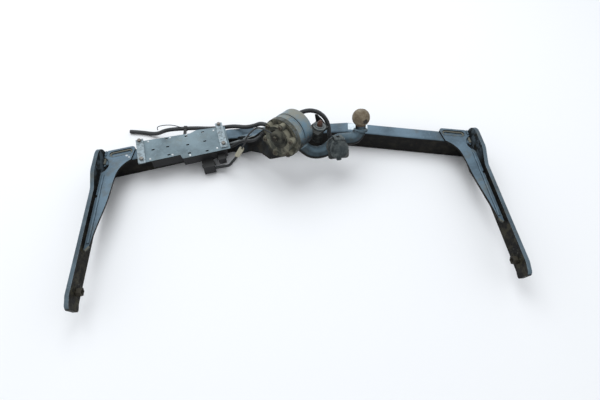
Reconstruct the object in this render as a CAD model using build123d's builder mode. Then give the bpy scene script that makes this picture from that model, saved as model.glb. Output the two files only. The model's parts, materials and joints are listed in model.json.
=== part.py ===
from build123d import *
import math
import os

# Towbar with a neck that swivels under the bumper, lying upside down on its cross beam.
# X runs to the right, Y to the rear of the car, and Z up, away from the road side of the car.
# The origin is the middle of the beam's underside. All sizes are in millimetres and degrees.

# Cross beam: a rectangular tube with both end lengths bent forward
beam_height = 65.0
beam_depth = 38.0
beam_wall = 4.0
bend_x = 175.0
bend_angle = 12.0
beam_end_x = 530.0
beam_corner = 5.0

# Side plates, upright at both ends of the beam
plate_thickness = 10.0
plate_front_y = -529.0
plate_top_z = 90.0
plate_low_z = 35.0
plate_foot_y = -150.0
plate_rise_y = -300.0
plate_corner_y = -515.0
ear_start_y = -195.0
ear_full_y = -150.0
ear_rear_y = -54.0
ear_radius = 40.0
ear_top_z = 111.0
nose_length = 35.0
nose_inset = 6.0
bolt_hole_radius = 6.5
bolt_hole_y = -472.0
bolt_hole_z = 54.0
bolt_pitch = 200.0
weld_nut_width = 19.0
weld_nut_height = 11.0

# Gussets, flat on the beam, from its ends forward along the side plates
gusset_thickness = 6.0
gusset_tip_y = -370.0
gusset_tip_width = 11.0
gusset_head_x = 446.0
gusset_head_rear_y = -32.0
gusset_corner_y = -49.0
gusset_neck_x = 455.0
gusset_neck_y = -84.0
gusset_edge = ((60.0, -97.0), (45.0, -121.0), (38.0, -155.0), (32.0, -221.0), (23.0, -276.0))
gusset_slot_x = 486.0
gusset_slot_y = -57.0
gusset_slot_length = 64.0
gusset_slot_width = 19.0
bite_y = -100.0
bite_radius = 32.0
bite_depth = 17.0
relief_y = -208.0
relief_size = 9.0
gusset_weld_start_y = -136.0
weld_throat = 6.0

# Swivel hub: its axis and its turned sizes
hub_x = -4.0
hub_y = -85.0
hub_z = 144.0
hub_azimuth = 42.0
hub_dip = 10.5
hub_radius = 54.0
head_length = 37.5
half_gap = 1.5
housing_length = 20.5
bracket_thickness = 14.0
bracket_rim = 2.0
spigot_radius = 30.0
shaft_radius = 12.0
shaft_reach = 30.0
bush_wall = 3.0
bush_length = 14.0
running_clearance = 0.05
gap_clearance = 0.3
seal_outer_radius = 51.0
seal_width = 9.0

# Gearbox in front of the hub
flange_depth = 14.0
flange_radius = 41.0
flange_wall = 3.5
lobe_count = 6
lobe_reach = 54.0
lobe_radius = 8.5
first_lobe_angle = 36.0
gear_module = 1.0
gear_teeth = 32
pinion_teeth = 12
gear_width = 7.0
pressure_angle = 20.0
backlash_share = 0.16
motor_angle = 106.0
motor_radius = 15.0
motor_length = 17.0
motor_shaft_radius = 3.0
dome_wall = 3.2
dome_step_depth = 6.0
dome_step_radius = 27.0
cap_bolt_width = 13.0
cap_bolt_height = 6.0
screw_radius = 3.0
screw_head_radius = 5.5
screw_head_height = 4.5

# Ball and neck, drawn in the towing position and turned back to the parked one
swing_angle = 162.5
ball_y = 120.0
ball_z = 119.0
ball_radius = 25.0
ball_flat = 3.0
waist_radius = 14.5
collar_radius = 20.0
collar_drop = 34.0
collar_height = 4.5
stem_radius = 13.5
stem_drop = 48.0
neck_width = 34.0
neck_height = 33.0
neck_corner = 12.0
neck_start_back = 190.0
neck_start_drop = 50.0
neck_dip_back = 143.0
neck_low = 92.5
neck_lift_back = 104.0
neck_rise_back = 66.0
neck_upper = 59.5
elbow_back = 12.0
neck_end_back = 4.0
neck_end_drop = 42.0
elbow_radius = 22.0

# Socket on the neck
socket_back = 74.5
socket_drop = 70.0
socket_radius = 25.0
socket_depth = 27.0
socket_wall = 2.5
socket_floor = 3.0
contact_radius = 1.25
contact_length = 16.0
inner_contact_circle = 9.0
outer_contact_circle = 17.5
lid_thickness = 3.0
lid_clearance = 0.4
hinge_pin_radius = 2.0
hinge_length = 26.0
socket_plate_thickness = 3.0
apron_width = 60.0
apron_height = 30.0
apron_corner = 8.0
gland_radius = 9.0
gland_length = 13.0
gland_ahead = 16.0
gland_below = 27.0

# Conduit from the head to the socket, and its guide on the head
conduit_radius = 6.5
lug_thickness = 6.0
lug_x = 52.5
lug_y = 1.0
lug_out = 31.0
lug_reach = 53.0
lug_half = 17.0
post_radius = 14.0
post_length = 44.0
rib_thickness = 3.5
guide_washer_radius = 18.0
guide_bolt_width = 15.0

# Control module on the left length of the beam
cover_thickness = 3.0
cover_start = 12.0
cover_end = 270.0
cover_step = 150.0
cover_rear = 30.0
cover_rear_bulge = 39.0
cover_rear_narrow = 31.0
cover_rear_end = 41.0
cover_front = 61.0
cover_front_narrow = 45.0
case_height = 31.0
case_wall = 2.5
case_start = 22.0
case_end = 238.0
case_front = 57.0
case_front_narrow = 42.0
strap_width = 21.0
strap_thickness = 3.5
spacer_radius = 6.0
strap_rear = 46.0
vent_length = 9.0
vent_width = 3.5
rivet_radius = 3.2
rivet_height = 1.8
strap_bolt_radius = 3.0
strap_bolt_width = 10.0
strap_bolt_height = 5.0
strap_bolt_length = 24.0
board_thickness = 1.6

# Cables
loom_radius = 6.0
signal_radius = 4.0
wire_radius = 2.2
tag_length = 34.0
tag_radius = 6.5

os.makedirs("parts", exist_ok=True)

# Frames of reference

hub_centre = Vector(hub_x, hub_y, hub_z)
level = math.cos(math.radians(hub_dip))
hub_axis = Vector(
    level * math.sin(math.radians(hub_azimuth)),
    level * math.cos(math.radians(hub_azimuth)),
    -math.sin(math.radians(hub_dip)),
)
hub_side = Vector(-math.cos(math.radians(hub_azimuth)), math.sin(math.radians(hub_azimuth)), 0)
HUB = Plane(origin=hub_centre, x_dir=hub_side, z_dir=hub_axis)
SWING = Axis(hub_centre, hub_axis * -1)
pinion_distance = gear_module * (gear_teeth + pinion_teeth) / 2
motor_x = pinion_distance * math.cos(math.radians(motor_angle))
motor_y = pinion_distance * math.sin(math.radians(motor_angle))
MOTOR = Plane(
    origin=HUB.from_local_coords(Vector(motor_x, motor_y, 0)),
    x_dir=hub_side,
    z_dir=hub_axis,
)

# The neck's plane, which in the towing position holds the rearward and the car's upward direction


def turned(vector, angle):
    """The direction, turned by the angle about the swing axis."""
    return vector.rotate(Axis((0, 0, 0), SWING.direction), angle)


NECK = Plane(
    origin=hub_centre + turned(Vector(0, ball_y, ball_z) - hub_centre, -swing_angle),
    x_dir=turned(Vector(0, 1, 0), -swing_angle),
    z_dir=turned(Vector(-1, 0, 0), -swing_angle),
)

cos_bend = math.cos(math.radians(bend_angle))
sin_bend = math.sin(math.radians(bend_angle))
LEFT = Plane(origin=(-bend_x, 0, 0), x_dir=(-cos_bend, -sin_bend, 0), z_dir=(0, 0, 1))


def disc(plane, radius, bore=0.0):
    """A round face on the plane, with a hole where a bore is given."""
    with BuildSketch(plane) as face:
        Circle(radius)
        if bore > 0:
            Circle(bore, mode=Mode.SUBTRACT)
    return face.sketch


def beam_y(x):
    """The middle of the beam's depth at a distance from the car's middle."""
    return -max(0.0, abs(x) - bend_x) * math.tan(math.radians(bend_angle))


def beam_outline(half_depth, reach):
    """The beam's plan between its front and rear faces, out to the reach."""
    half_bend = math.tan(math.radians(bend_angle / 2)) * half_depth
    edge = half_depth / cos_bend
    front = [
        (-reach, beam_y(reach) - edge),
        (-bend_x + half_bend, -half_depth),
        (bend_x - half_bend, -half_depth),
        (reach, beam_y(reach) - edge),
    ]
    rear = [
        (reach, beam_y(reach) + edge),
        (bend_x + half_bend, half_depth),
        (-bend_x - half_bend, half_depth),
        (-reach, beam_y(reach) + edge),
    ]
    return front + rear


# Cross beam

with BuildPart() as cross_beam:
    with BuildSketch() as beam_plan:
        with BuildLine():
            Polyline(*beam_outline(beam_depth / 2, beam_end_x), close=True)
        make_face()
    extrude(amount=beam_height)
    long_edges = cross_beam.edges().filter_by(Axis.Z, reverse=True)
    fillet(long_edges.filter_by(Axis.Y, reverse=True), beam_corner)
    with BuildSketch(Plane.XY.offset(beam_wall)) as hollow_plan:
        with BuildLine():
            Polyline(*beam_outline(beam_depth / 2 - beam_wall, beam_end_x + 1), close=True)
        make_face()
    extrude(amount=beam_height - 2 * beam_wall, mode=Mode.SUBTRACT)
cross_beam.part.label = "cross_beam"
export_step(cross_beam.part, "parts/cross_beam.step")

# Side plates, gussets and weld nuts

for side, sign in (("left", -1), ("right", 1)):
    inner_x = sign * beam_end_x
    outer_x = sign * (beam_end_x + plate_thickness)
    nose_y = plate_front_y + nose_length
    with BuildPart() as side_plate:
        with BuildSketch() as plate_plan:
            with BuildLine():
                Polyline(
                    (inner_x, 0),
                    (inner_x, nose_y),
                    (inner_x - sign * nose_inset, plate_front_y),
                    (outer_x - sign * nose_inset, plate_front_y),
                    (outer_x, nose_y),
                    (outer_x, 0),
                    close=True,
                )
            make_face()
        extrude(amount=ear_top_z)
        with BuildSketch(Plane.YZ) as plate_profile:
            with BuildLine():
                FilletPolyline(
                    (ear_rear_y, 0),
                    (ear_rear_y, ear_top_z),
                    (ear_full_y, ear_top_z),
                    (ear_start_y, plate_top_z),
                    (plate_front_y, plate_top_z),
                    (plate_corner_y, plate_low_z),
                    (plate_rise_y, plate_low_z),
                    (plate_foot_y, 0),
                    radius=[ear_radius, 40, 25, 9, 12, 60],
                )
                Line((plate_foot_y, 0), (ear_rear_y, 0))
            make_face()
            with Locations((bolt_hole_y, bolt_hole_z), (bolt_hole_y + bolt_pitch, bolt_hole_z)):
                Circle(bolt_hole_radius, mode=Mode.SUBTRACT)
        extrude(
            amount=2 * beam_end_x,
            both=True,
            mode=Mode.INTERSECT,
        )
    side_plate.part.label = f"side_plate_{side}"
    export_step(side_plate.part, f"parts/side_plate_{side}.step")

    # Gusset: a head with a slot on the beam, and a tongue that narrows along the side plate
    tongue_x = sign * (beam_end_x - gusset_tip_width)
    edge_places = [(sign * (beam_end_x - width), along) for width, along in gusset_edge]
    bite_x = sign * (beam_end_x + bite_radius - bite_depth)
    with BuildPart() as gusset:
        with BuildSketch(Plane.XY.offset(beam_height)) as gusset_plan:
            with BuildLine():
                FilletPolyline(
                    (inner_x, gusset_tip_y),
                    (inner_x, gusset_corner_y),
                    (sign * gusset_head_x, gusset_head_rear_y),
                    (sign * gusset_neck_x, gusset_neck_y),
                    radius=[12, 9],
                )
                Spline(
                    (sign * gusset_neck_x, gusset_neck_y),
                    *edge_places,
                    (tongue_x, gusset_tip_y + gusset_tip_width),
                )
                Line((tongue_x, gusset_tip_y + gusset_tip_width), (inner_x, gusset_tip_y))
            make_face()
            with Locations(Location((sign * gusset_slot_x, gusset_slot_y), sign * bend_angle * -1)):
                SlotOverall(gusset_slot_length, gusset_slot_width, mode=Mode.SUBTRACT)
            with Locations((bite_x, bite_y)):
                Circle(bite_radius, mode=Mode.SUBTRACT)
            with Locations((inner_x, relief_y)):
                RegularPolygon(relief_size, 3, rotation=90 + sign * 90, mode=Mode.SUBTRACT)
        extrude(amount=gusset_thickness)
    gusset.part.label = f"gusset_{side}"
    export_step(gusset.part, f"parts/gusset_{side}.step")

    # Fillet weld between the gusset's upper face and the side plate
    weld_z = beam_height + gusset_thickness
    with BuildPart() as gusset_weld:
        with BuildSketch(Plane.XZ.offset(-gusset_weld_start_y)) as weld_section:
            with BuildLine():
                Polyline(
                    (inner_x, weld_z),
                    (inner_x, weld_z + weld_throat),
                    (inner_x - sign * weld_throat, weld_z),
                    close=True,
                )
            make_face()
        extrude(amount=gusset_weld_start_y - gusset_tip_y - 2 * weld_throat)
    gusset_weld.part.label = f"gusset_weld_{side}"
    export_step(gusset_weld.part, f"parts/gusset_weld_{side}.step")

# Weld nuts on the inner faces of the side plates

with BuildPart() as weld_nuts:
    for sign in (-1, 1):
        nut_plane = Plane(origin=(sign * beam_end_x, 0, 0), x_dir=(0, 1, 0), z_dir=(-sign, 0, 0))
        with BuildSketch(nut_plane) as nut_plan:
            for nut_y in (bolt_hole_y, bolt_hole_y + bolt_pitch):
                with Locations((nut_y, -sign * bolt_hole_z)):
                    RegularPolygon(weld_nut_width / 2, 6, major_radius=False)
                    Circle(bolt_hole_radius, mode=Mode.SUBTRACT)
        extrude(amount=weld_nut_height)
weld_nuts.part.label = "weld_nuts"
export_step(weld_nuts.part, "parts/weld_nuts.step")

# Hub bracket: a thick plate square to the hub's axis, welded to the beam's front face

bracket_front = -half_gap - housing_length - bracket_thickness
bracket_rear = -half_gap - housing_length
with BuildPart() as hub_bracket:
    with BuildSketch(HUB.offset(bracket_front)) as bracket_plan:
        with BuildLine():
            Polyline(
                (175, -84),
                (156, -84),
                (135, -70),
                (90, -42),
                (36, 30),
                (-20, 10),
                (-40, -36),
                (22, -88),
                (32, -95),
                (62, -92),
                (100, -107),
                (150, -148),
                (175, -148),
                close=True,
            )
        make_face()
        Circle(hub_radius + bracket_rim)
        Circle(spigot_radius, mode=Mode.SUBTRACT)
        lobe_angles = [first_lobe_angle + 360 / lobe_count * i for i in range(lobe_count)]
        screw_circle = lobe_reach - lobe_radius
        with PolarLocations(screw_circle, lobe_count, start_angle=first_lobe_angle):
            Circle(screw_radius, mode=Mode.SUBTRACT)
    extrude(amount=bracket_thickness)
    cut_size = 4 * hub_radius
    with Locations((-bend_x, -beam_depth / 2, 0)):
        Box(bend_x, cut_size, cut_size, align=Align.MIN, mode=Mode.SUBTRACT)
hub_bracket.part.label = "hub_bracket"
export_step(hub_bracket.part, "parts/hub_bracket.step")

# Fixed half of the drum, with its spigot in the bracket and a bore for the bushes

bush_radius = shaft_radius + running_clearance + bush_wall
with BuildPart() as hub_housing:
    extrude(disc(HUB.offset(bracket_front), spigot_radius), amount=bracket_thickness)
    extrude(disc(HUB.offset(bracket_rear), hub_radius), amount=housing_length)
    extrude(
        disc(HUB.offset(bracket_front), bush_radius),
        amount=bracket_thickness + housing_length,
        mode=Mode.SUBTRACT,
    )
hub_housing.part.label = "hub_housing"
export_step(hub_housing.part, "parts/hub_housing.step")

bush_starts = {"bush_front": bracket_front, "bush_rear": -half_gap - bush_length}
for bush_name, bush_start in bush_starts.items():
    with BuildPart() as bush:
        extrude(
            disc(HUB.offset(bush_start), bush_radius, shaft_radius + running_clearance),
            amount=bush_length,
        )
    bush.part.label = bush_name
    export_step(bush.part, f"parts/{bush_name}.step")

# Seal and thrust washer in the gap between the two halves of the drum

gap_fill = 2 * half_gap - gap_clearance
with BuildPart() as seal_ring:
    extrude(disc(HUB.offset(-half_gap), seal_outer_radius, seal_outer_radius - seal_width), amount=gap_fill)
seal_ring.part.label = "seal_ring"
export_step(seal_ring.part, "parts/seal_ring.step")

with BuildPart() as thrust_washer:
    extrude(
        disc(HUB.offset(-half_gap), spigot_radius, shaft_radius + running_clearance),
        amount=gap_fill,
    )
thrust_washer.part.label = "thrust_washer"
export_step(thrust_washer.part, "parts/thrust_washer.step")


# Gears

def gear_face(plane, teeth, bore, first_tooth):
    """A spur gear's outline with involute flanks, thinned for backlash."""
    pitch_radius = gear_module * teeth / 2
    base_radius = pitch_radius * math.cos(math.radians(pressure_angle))
    root_radius = pitch_radius - 1.2 * gear_module
    tip_radius = pitch_radius + 0.8 * gear_module
    roll = math.radians(pressure_angle)
    pitch_half = math.pi / 2 / teeth * (1 - backlash_share)
    half_at_base = pitch_half + math.tan(roll) - roll
    flank = [(root_radius, half_at_base)]
    start_radius = max(base_radius, root_radius)
    for i in range(4):
        radius = start_radius + (tip_radius - start_radius) * i / 3
        turn = math.acos(min(1.0, base_radius / radius))
        half = half_at_base - (math.tan(turn) - turn)
        if radius > root_radius:
            flank.append((radius, half))
    points = []
    for tooth in range(teeth):
        middle = math.radians(first_tooth) + 2 * math.pi * tooth / teeth
        for radius, half in flank:
            points.append((radius * math.cos(middle - half), radius * math.sin(middle - half)))
        for radius, half in reversed(flank):
            points.append((radius * math.cos(middle + half), radius * math.sin(middle + half)))
    with BuildSketch(plane) as face:
        with BuildLine():
            Polyline(*points, close=True)
        make_face()
        if bore > 0:
            Circle(bore, mode=Mode.SUBTRACT)
    return face.sketch


gear_start = bracket_front - 2.5 - gear_width
with BuildPart() as drive_gear:
    gear_plan = gear_face(HUB.offset(gear_start), gear_teeth, shaft_radius, motor_angle)
    extrude(gear_plan, amount=gear_width)
drive_gear.part.label = "drive_gear"
export_step(drive_gear.part, "parts/drive_gear.step")

flange_front = bracket_front - flange_depth
motor_front = flange_front - motor_length
pinion_phase = motor_angle + 180 + 180 / pinion_teeth
with BuildPart() as motor_pinion:
    extrude(gear_face(MOTOR.offset(gear_start), pinion_teeth, 0, pinion_phase), amount=gear_width)
    extrude(
        disc(MOTOR.offset(flange_front - motor_length + 5), motor_shaft_radius),
        amount=gear_start - flange_front + motor_length - 5,
    )
motor_pinion.part.label = "motor_pinion"
export_step(motor_pinion.part, "parts/motor_pinion.step")

shaft_start = gear_start - 0.5
with BuildPart() as swivel_shaft:
    extrude(disc(HUB.offset(shaft_start), shaft_radius), amount=shaft_reach - shaft_start)
swivel_shaft.part.label = "swivel_shaft"
export_step(swivel_shaft.part, "parts/swivel_shaft.step")

with BuildPart() as retaining_ring:
    extrude(
        disc(HUB.offset(gear_start + gear_width), shaft_radius + 5, shaft_radius),
        amount=2.5 - gap_clearance,
    )
retaining_ring.part.label = "retaining_ring"
export_step(retaining_ring.part, "parts/retaining_ring.step")

# Lobed flange cover over the gears, and its screws

gear_tip = gear_module * (gear_teeth / 2 + 0.8)
pinion_tip = gear_module * (pinion_teeth / 2 + 0.8)
with BuildPart() as flange_cover:
    with BuildSketch(HUB.offset(flange_front)) as flange_plan:
        Circle(flange_radius)
        with PolarLocations((lobe_reach - lobe_radius) / 2, lobe_count, start_angle=first_lobe_angle):
            SlotCenterToCenter(lobe_reach - lobe_radius, 2 * lobe_radius)
        with PolarLocations(screw_circle, lobe_count, start_angle=first_lobe_angle):
            Circle(screw_radius, mode=Mode.SUBTRACT)
    extrude(amount=flange_depth)
    with BuildSketch(HUB.offset(flange_front + flange_wall)) as gear_space:
        Circle(gear_tip + 1.5)
        with Locations((motor_x, motor_y)):
            Circle(pinion_tip + 1.5)
    extrude(amount=flange_depth - flange_wall, mode=Mode.SUBTRACT)
    extrude(
        disc(MOTOR.offset(flange_front), motor_shaft_radius + running_clearance),
        amount=flange_wall,
        mode=Mode.SUBTRACT,
    )
flange_cover.part.label = "flange_cover"
export_step(flange_cover.part, "parts/flange_cover.step")

with BuildPart() as flange_screws:
    with BuildSketch(HUB.offset(flange_front)) as shank_plan:
        with PolarLocations(screw_circle, lobe_count, start_angle=first_lobe_angle):
            Circle(screw_radius)
    extrude(amount=flange_depth + bracket_thickness)
    with BuildSketch(HUB.offset(flange_front - screw_head_height)) as head_plan:
        with PolarLocations(screw_circle, lobe_count, start_angle=first_lobe_angle):
            Circle(screw_head_radius)
            RegularPolygon(2.8, 6, mode=Mode.SUBTRACT)
    extrude(amount=screw_head_height)
flange_screws.part.label = "flange_screws"
export_step(flange_screws.part, "parts/flange_screws.step")

# Motor under its stepped dome

with BuildPart() as drive_motor:
    extrude(disc(MOTOR.offset(motor_front), motor_radius), amount=motor_length)
    extrude(
        disc(MOTOR.offset(motor_front + 4), motor_shaft_radius + running_clearance),
        amount=motor_length - 4,
        mode=Mode.SUBTRACT,
    )
drive_motor.part.label = "drive_motor"
export_step(drive_motor.part, "parts/drive_motor.step")

dome_radius = motor_radius + dome_wall
with BuildPart() as gearbox_cover:
    with BuildSketch(HUB.offset(flange_front - dome_step_depth)) as step_plan:
        with Locations((motor_x / 2, motor_y / 2)):
            Circle(dome_step_radius)
    extrude(amount=dome_step_depth)
    extrude(disc(MOTOR.offset(motor_front - dome_wall), dome_radius), amount=motor_length + dome_wall)
    fillet(gearbox_cover.faces().sort_by(Axis(hub_centre, hub_axis))[0].edges(), 5)
    extrude(disc(MOTOR.offset(motor_front), motor_radius), amount=motor_length, mode=Mode.SUBTRACT)
gearbox_cover.part.label = "gearbox_cover"
export_step(gearbox_cover.part, "parts/gearbox_cover.step")

with BuildPart() as cap_bolt:
    with BuildSketch(MOTOR.offset(motor_front - dome_wall - cap_bolt_height)) as cap_bolt_plan:
        RegularPolygon(cap_bolt_width / 2, 6, major_radius=False)
    extrude(amount=cap_bolt_height)
cap_bolt.part.label = "cap_bolt"
export_step(cap_bolt.part, "parts/cap_bolt.step")

# Ball neck: the moving half of the drum, the bent neck and the ball, forged in one piece

with BuildPart() as ball_neck:
    extrude(disc(HUB.offset(half_gap), hub_radius), amount=head_length)
    chamfer(ball_neck.faces().sort_by(Axis(hub_centre, hub_axis))[-1].edges(), 4)
    with BuildLine(NECK) as neck_line:
        FilletPolyline(
            (-neck_start_back, -neck_start_drop),
            (-neck_dip_back, -neck_low),
            (-neck_lift_back, -neck_low),
            (-neck_rise_back, -neck_upper),
            (-elbow_back, -neck_upper),
            (-neck_end_back, -neck_end_drop),
            radius=[48, 48, 28, elbow_radius],
        )
    start_way = Vector(neck_start_back - neck_dip_back, neck_start_drop - neck_low, 0).normalized()
    neck_start = Plane(
        origin=NECK.from_local_coords(Vector(-neck_start_back, -neck_start_drop, 0)),
        x_dir=NECK.z_dir,
        z_dir=NECK.x_dir * start_way.X + NECK.y_dir * start_way.Y,
    )
    with BuildSketch(neck_start) as neck_section:
        RectangleRounded(neck_width, neck_height, neck_corner)
    sweep()
    with BuildSketch(Plane(NECK.origin, x_dir=NECK.x_dir, z_dir=NECK.z_dir)) as ball_profile:
        with BuildLine():
            ball_top = ball_radius - ball_flat
            top_half = math.sqrt(ball_radius ** 2 - ball_top ** 2)
            waist_drop = math.sqrt(ball_radius ** 2 - waist_radius ** 2)
            Line((0, ball_top), (top_half, ball_top))
            ThreePointArc((top_half, ball_top), (ball_radius, 0), (waist_radius, -waist_drop))
            Polyline(
                (waist_radius, -waist_drop),
                (waist_radius, -collar_drop + 3),
                (collar_radius, -collar_drop),
                (collar_radius, -collar_drop - collar_height),
                (stem_radius, -collar_drop - collar_height),
                (stem_radius, -stem_drop),
                (0, -stem_drop),
                (0, ball_top),
            )
        make_face()
    revolve(axis=Axis(NECK.origin, NECK.y_dir))
    extrude(disc(HUB.offset(half_gap), 3 * hub_radius), amount=-2 * hub_radius, mode=Mode.SUBTRACT)
    extrude(
        disc(HUB.offset(half_gap), shaft_radius),
        amount=shaft_reach - half_gap,
        mode=Mode.SUBTRACT,
    )
ball_neck.part.label = "ball_neck"
export_step(ball_neck.part, "parts/ball_neck.step")

# Guide lug on the head with its post and rib, and the flanged bolt on it

head_rear = half_gap + head_length
guide_top = HUB.from_local_coords(Vector(-lug_x + 1, lug_y + lug_thickness, head_rear + lug_out))
GUIDE = Plane(origin=guide_top, x_dir=HUB.x_dir, z_dir=HUB.y_dir)
with BuildPart() as guide_lug:
    with BuildSketch(HUB.offset(head_rear)) as lug_foot:
        with Locations((-lug_x + lug_half, lug_y + lug_thickness / 2)):
            Rectangle(2 * lug_half - 6, lug_thickness + 10)
    extrude(amount=4)
    with BuildSketch(HUB.offset(head_rear)) as lug_shelf:
        with Locations((-lug_x + 4, lug_y + lug_thickness / 2)):
            Rectangle(2 * lug_half + 6, lug_thickness)
    extrude(amount=lug_reach)
    extrude(disc(GUIDE, post_radius), amount=-post_length)
    with BuildSketch(HUB.offset(head_rear + lug_reach - rib_thickness)) as lug_rib:
        with BuildLine():
            Polyline(
                (-lug_x - 14, lug_y),
                (-lug_x - 9, lug_y + 7),
                (-lug_x + 9, lug_y + 19),
                (-lug_x + 28, lug_y + 26),
                (-lug_x + 33, lug_y + 23),
                (-lug_x + 24, lug_y),
                close=True,
            )
        make_face()
    extrude(amount=rib_thickness)
guide_lug.part.label = "guide_lug"
export_step(guide_lug.part, "parts/guide_lug.step")

with BuildPart() as guide_washer:
    extrude(disc(GUIDE, guide_washer_radius - 1.5, 4), amount=2)
    extrude(disc(GUIDE.offset(2), guide_washer_radius, 4), amount=3)
    extrude(disc(GUIDE.offset(5), guide_washer_radius - 5, 4), amount=2)
guide_washer.part.label = "guide_washer"
export_step(guide_washer.part, "parts/guide_washer.step")

with BuildPart() as guide_bolt:
    extrude(disc(GUIDE, 4), amount=7)
    with BuildSketch(GUIDE.offset(7)) as guide_head:
        RegularPolygon(guide_bolt_width / 2, 6, major_radius=False)
    extrude(amount=9)
    with BuildSketch(GUIDE.offset(16)) as guide_tip:
        Circle(6)
    extrude(amount=8, taper=18)
guide_bolt.part.label = "guide_bolt"
export_step(guide_bolt.part, "parts/guide_bolt.step")

# Socket with its plate, gland, contacts, seal and screws

plate_near = neck_width / 2
socket_near = plate_near + socket_plate_thickness
gland_back = socket_back - gland_ahead
gland_drop = socket_drop + gland_below
with BuildPart() as socket_plate:
    with BuildSketch(NECK.offset(plate_near)) as socket_plate_plan:
        with Locations((-socket_back, -socket_drop)):
            Circle(socket_radius + 4)
        with Locations((-gland_back - gland_radius, -gland_drop + apron_height / 2 - gland_radius - 3)):
            RectangleRounded(apron_width, apron_height, apron_corner)
        with Locations((-gland_back, -gland_drop)):
            Circle(conduit_radius - 1, mode=Mode.SUBTRACT)
    extrude(amount=socket_plate_thickness)
socket_plate.part.label = "socket_plate"
export_step(socket_plate.part, "parts/socket_plate.step")

SOCKET = Plane(
    origin=NECK.from_local_coords(Vector(-socket_back, -socket_drop, socket_near)),
    x_dir=NECK.x_dir,
    z_dir=NECK.z_dir,
)
hinge_rise = socket_radius + 5.5
hinge_out = socket_depth + lid_clearance + lid_thickness / 2
knuckle_radius = hinge_pin_radius + 2.2
knuckle_length = hinge_length / 3
with BuildPart() as socket_housing:
    extrude(disc(SOCKET, socket_radius), amount=socket_depth)
    with BuildSketch(SOCKET) as knuckle_arms:
        for arm_side in (-1, 1):
            with Locations((arm_side * knuckle_length, socket_radius - 2)):
                Rectangle(knuckle_length - 0.6, 9, align=(Align.CENTER, Align.MIN))
    extrude(amount=hinge_out)
    for arm_side in (-1, 1):
        knuckle_plane = Plane(
            origin=SOCKET.from_local_coords(
                Vector(arm_side * knuckle_length - (knuckle_length - 0.6) / 2, hinge_rise, hinge_out)
            ),
            x_dir=SOCKET.y_dir,
            z_dir=SOCKET.x_dir,
        )
        extrude(disc(knuckle_plane, knuckle_radius), amount=knuckle_length - 0.6)
    extrude(disc(SOCKET.offset(socket_depth), socket_radius + 2.1), amount=10, mode=Mode.SUBTRACT)
    extrude(
        disc(SOCKET.offset(socket_floor), socket_radius - socket_wall),
        amount=socket_depth,
        mode=Mode.SUBTRACT,
    )
    extrude(
        disc(
            Plane(
                origin=SOCKET.from_local_coords(Vector(-hinge_length, hinge_rise, hinge_out)),
                x_dir=SOCKET.y_dir,
                z_dir=SOCKET.x_dir,
            ),
            hinge_pin_radius,
        ),
        amount=2 * hinge_length,
        mode=Mode.SUBTRACT,
    )
socket_housing.part.label = "socket_housing"
export_step(socket_housing.part, "parts/socket_housing.step")

contact_places = [(0.0, 0.0)]
for i in range(4):
    contact_angle = math.radians(90 * i + 45)
    contact_places.append(
        (inner_contact_circle * math.cos(contact_angle), inner_contact_circle * math.sin(contact_angle))
    )
for i in range(8):
    contact_angle = math.radians(45 * i + 22.5)
    contact_places.append(
        (outer_contact_circle * math.cos(contact_angle), outer_contact_circle * math.sin(contact_angle))
    )
with BuildPart() as socket_contacts:
    with BuildSketch(SOCKET.offset(socket_floor)) as contact_plan:
        with Locations(*contact_places):
            Circle(contact_radius)
    extrude(amount=contact_length)
socket_contacts.part.label = "socket_contacts"
export_step(socket_contacts.part, "parts/socket_contacts.step")

with BuildPart() as hinge_pin:
    pin_plane = Plane(
        origin=SOCKET.from_local_coords(Vector(-hinge_length / 2 - 1, hinge_rise, hinge_out)),
        x_dir=SOCKET.y_dir,
        z_dir=SOCKET.x_dir,
    )
    extrude(disc(pin_plane, hinge_pin_radius), amount=hinge_length + 2)
hinge_pin.part.label = "hinge_pin"
export_step(hinge_pin.part, "parts/hinge_pin.step")

lid_near = socket_depth + lid_clearance
with BuildPart() as socket_lid:
    extrude(disc(SOCKET.offset(lid_near), socket_radius + 1.5), amount=lid_thickness)
    extrude(disc(SOCKET.offset(lid_near + lid_thickness), socket_radius - 6), amount=1.6)
    with BuildSketch(SOCKET.offset(lid_near)) as lid_tongue:
        with Locations((0, socket_radius - 4)):
            Rectangle(knuckle_length - 1.4, 9.5, align=(Align.CENTER, Align.MIN))
        with Locations((0, -socket_radius - 2)):
            RectangleRounded(14, 9, 3)
    extrude(amount=lid_thickness)
    lid_knuckle = Plane(
        origin=SOCKET.from_local_coords(
            Vector(-(knuckle_length - 1.4) / 2, hinge_rise, hinge_out)
        ),
        x_dir=SOCKET.y_dir,
        z_dir=SOCKET.x_dir,
    )
    extrude(disc(lid_knuckle, knuckle_radius), amount=knuckle_length - 1.4)
    extrude(
        disc(lid_knuckle, hinge_pin_radius + running_clearance),
        amount=knuckle_length - 1.4,
        mode=Mode.SUBTRACT,
    )
socket_lid.part.label = "socket_lid"
export_step(socket_lid.part, "parts/socket_lid.step")

GLAND = Plane(
    origin=NECK.from_local_coords(Vector(-gland_back, -gland_drop, plate_near)),
    x_dir=NECK.x_dir,
    z_dir=NECK.z_dir * -1,
)
with BuildPart() as socket_gland:
    extrude(disc(GLAND, gland_radius), amount=gland_length - 4)
    extrude(disc(GLAND.offset(gland_length - 4), gland_radius - 1.5), amount=4)
socket_gland.part.label = "socket_gland"
export_step(socket_gland.part, "parts/socket_gland.step")

# Conduit that swings with the neck, from the head round its guide to the socket


def tube_radii(points, widest):
    """Corner radii as large as the runs beside each corner allow."""
    radii = []
    for i in range(1, len(points) - 1):
        arriving = points[i] - points[i - 1]
        leaving = points[i + 1] - points[i]
        half_turn = math.radians(arriving.get_angle(leaving) / 2)
        shorter = min(arriving.length, leaving.length)
        radii.append(min(0.45 * shorter / math.tan(half_turn), widest))
    return radii


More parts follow.
